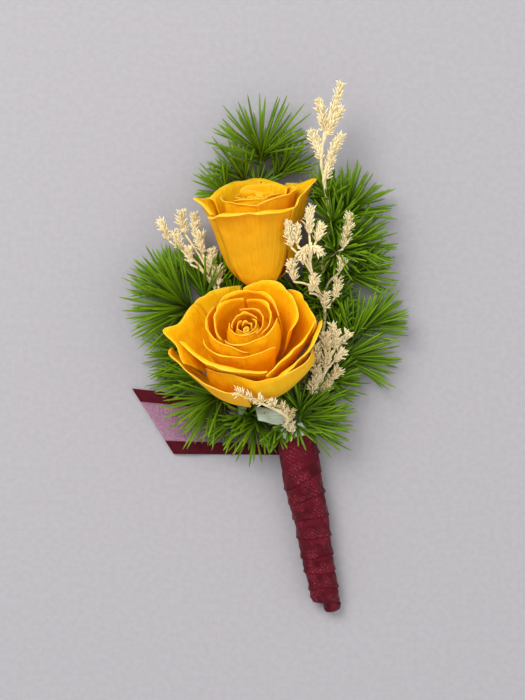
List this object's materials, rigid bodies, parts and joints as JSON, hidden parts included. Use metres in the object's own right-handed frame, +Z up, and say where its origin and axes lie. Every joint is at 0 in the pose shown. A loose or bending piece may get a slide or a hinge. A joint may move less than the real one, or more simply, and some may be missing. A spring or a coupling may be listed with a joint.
{
  "type": "boutonniere",
  "caption": "Boutonniere lying on its back: yellow roses, one open and one in bud, with ming fern and dried statice, its stems wrapped in burgundy ribbon with a loose sheer tail.",
  "frame": {"origin": "on the table, under the middle of the whole piece", "axes": "+Y from the wrapped stems to the flowers, +Z up from the table, the side that faces away from the wearer; +X to the right as seen from above"},
  "size_m": [0.0746, 0.138, 0.0326],
  "materials": {
    "rose_petal": "soft matt petal",
    "rose_stem": "green stem, hip and sepals",
    "fern": "fresh green needles, slight sheen",
    "dried_statice": "dry papery cream",
    "floral_tape": "waxed crepe paper tape",
    "satin_ribbon": "burgundy ribbon with satin edges",
    "sheer_ribbon": "sheer organza between satin edges"
  },
  "bodies": {
    "root": {"bud_heart": "rose_petal", "bud_petal_01": "rose_petal", "bud_petal_02": "rose_petal", "bud_petal_03": "rose_petal", "bud_petal_04": "rose_petal", "bud_petal_05": "rose_petal", "bud_petal_06": "rose_petal", "bud_petal_07": "rose_petal", "bud_petal_08": "rose_petal", "bud_petal_09": "rose_petal", "bud_petal_10": "rose_petal", "bud_petal_11": "rose_petal", "bud_petal_12": "rose_petal", "bud_stem": "rose_stem", "fern_bottom": "fern", "fern_bottom_right": "fern", "fern_left": "fern", "fern_left_lower": "fern", "fern_right_lower": "fern", "fern_right_upper": "fern", "fern_top": "fern", "open_rose_heart": "rose_petal", "open_rose_petal_01": "rose_petal", "open_rose_petal_02": "rose_petal", "open_rose_petal_03": "rose_petal", "open_rose_petal_04": "rose_petal", "open_rose_petal_05": "rose_petal", "open_rose_petal_06": "rose_petal", "open_rose_petal_07": "rose_petal", "open_rose_petal_08": "rose_petal", "open_rose_petal_09": "rose_petal", "open_rose_petal_10": "rose_petal", "open_rose_petal_11": "rose_petal", "open_rose_petal_12": "rose_petal", "open_rose_petal_13": "rose_petal", "open_rose_petal_14": "rose_petal", "open_rose_petal_15": "rose_petal", "open_rose_petal_16": "rose_petal", "open_rose_petal_17": "rose_petal", "open_rose_petal_18": "rose_petal", "open_rose_petal_19": "rose_petal", "open_rose_petal_20": "rose_petal", "open_rose_petal_21": "rose_petal", "open_rose_petal_22": "rose_petal", "open_rose_stem": "rose_stem", "ribbon_tail": "sheer_ribbon", "ribbon_wrap": "satin_ribbon", "statice_centre": "dried_statice", "statice_front": "dried_statice", "statice_left": "dried_statice", "statice_lower_right": "dried_statice", "statice_tall": "dried_statice", "stem_tape": "floral_tape"}
  },
  "joints": []
}
